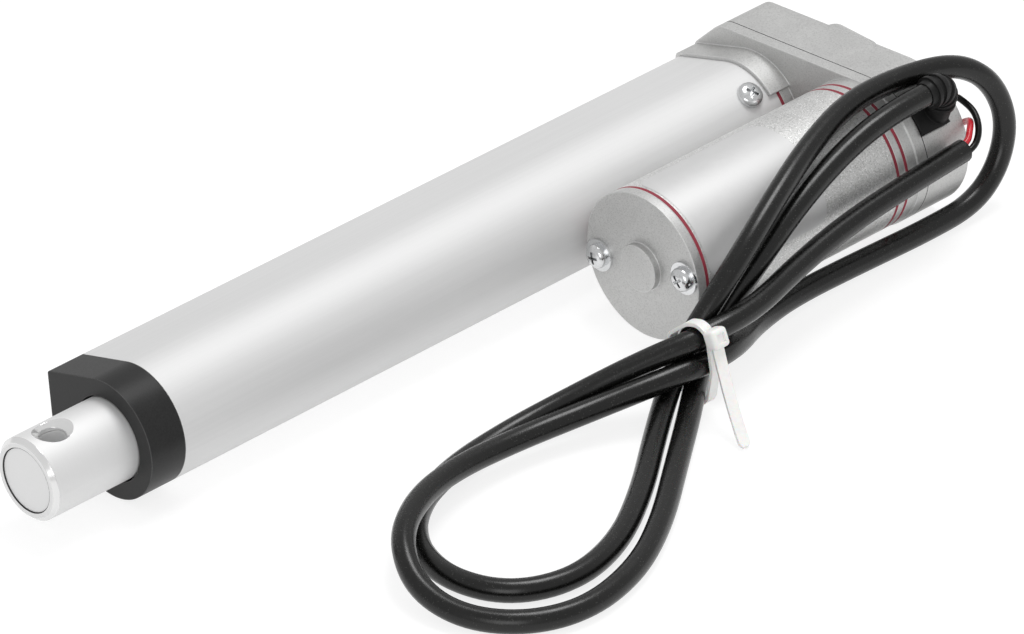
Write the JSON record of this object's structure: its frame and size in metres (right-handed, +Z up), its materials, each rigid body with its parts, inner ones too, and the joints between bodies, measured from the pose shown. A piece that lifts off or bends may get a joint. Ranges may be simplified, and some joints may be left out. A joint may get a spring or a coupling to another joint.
{
  "type": "electric linear actuator",
  "caption": "Electric linear actuator: teardrop aluminium tube with a telescoping push rod, a geared motor lying beside it, end eyes for pins and a tied two-wire cable.",
  "frame": {"origin": "centre of the rear eye, on the axis of the tube and rod", "axes": "+X along the rod as it extends, +Y towards the motor, +Z up from the surface it lies on"},
  "size_m": [0.2642, 0.1313, 0.0432],
  "materials": {
    "anodised_tube": "satin anodised extrusion",
    "rod_aluminium": "fine satin",
    "die_cast": "blasted die casting",
    "silver_paint": "sand-textured silver coat",
    "red_gasket": "matt crimson sheet",
    "plated_screw": "bright plated",
    "black_nylon": "satin moulding",
    "black_rubber": "matt moulding",
    "seal_rubber": "matt",
    "cable_jacket": "semi-gloss jacket",
    "red_insulation": "smooth",
    "black_insulation": "smooth",
    "white_nylon": "translucent white",
    "acetal": "natural white",
    "steel": "turned",
    "core_steel": "stacked laminations",
    "ferrite": "ground",
    "copper": "enamelled wire",
    "bronze": "sintered",
    "carbon": "pressed",
    "board_green": "solder mask",
    "switch_black": "moulded"
  },
  "bodies": {
    "frame": {"outer_tube": "anodised_tube", "front_cap": "black_nylon", "rod_seal": "seal_rubber", "guide_bush": "acetal", "gear_housing": "die_cast", "rear_cover": "die_cast", "tube_gasket": "red_gasket", "motor_gasket_rear": "red_gasket", "motor_adapter_ring": "die_cast", "motor_gasket_front": "red_gasket", "motor_cover": "silver_paint", "end_cap_gasket": "red_gasket", "motor_end_cap": "die_cast", "motor_bolts": "plated_screw", "bolt_washers": "plated_screw", "tube_screw": "plated_screw", "cover_screws": "plated_screw", "motor_can": "steel", "field_magnets": "ferrite", "brush_end_bell": "black_nylon", "carbon_brushes": "carbon", "shaft_bush_rear": "bronze", "shaft_bush_front": "bronze", "screw_bearing": "steel", "idler_pin": "steel", "limit_switch_board": "board_green", "limit_switches": "switch_black", "cable_grommet": "black_rubber", "power_cable": "cable_jacket", "cable_tie": "white_nylon", "red_lead": "red_insulation", "black_lead": "black_insulation"},
    "rod": {"push_rod": "rod_aluminium", "rod_plug": "rod_aluminium", "drive_nut": "acetal"},
    "screw": {"lead_screw": "steel", "screw_gear": "acetal", "screw_collar": "steel"},
    "idler": {"idler_gear": "acetal"},
    "rotor": {"motor_shaft": "steel", "armature_core": "core_steel", "armature_coils": "copper", "commutator": "copper", "motor_pinion": "bronze"}
  },
  "joints": [
    {"name": "rotor_spin", "type": "hinge", "parent": "frame", "child": "rotor", "pos_m": [0, 0.03453, 0.00354], "axis": [1, 0, 0], "range_deg": [0, 51480]},
    {"name": "idler_spin", "type": "hinge", "parent": "frame", "child": "idler", "pos_m": [0, 0.01654, 0.00395], "axis": [1, 0, 0], "range_deg": [-20160, 360]},
    {"name": "screw_spin", "type": "hinge", "parent": "frame", "child": "screw", "pos_m": [0, 0, 0], "axis": [1, 0, 0], "range_deg": [-360, 11160]},
    {"name": "rod_slide", "type": "slide", "parent": "frame", "child": "rod", "axis": [1, 0, 0], "range_m": [0, 0.15]}
  ],
  "couplings": [
    {"joint": "idler_spin", "follows": "rotor_spin", "ratio": -0.38462},
    {"joint": "screw_spin", "follows": "rotor_spin", "ratio": 0.20979},
    {"joint": "rod_slide", "follows": "rotor_spin", "m_per_rad": 0.00016694}
  ]
}
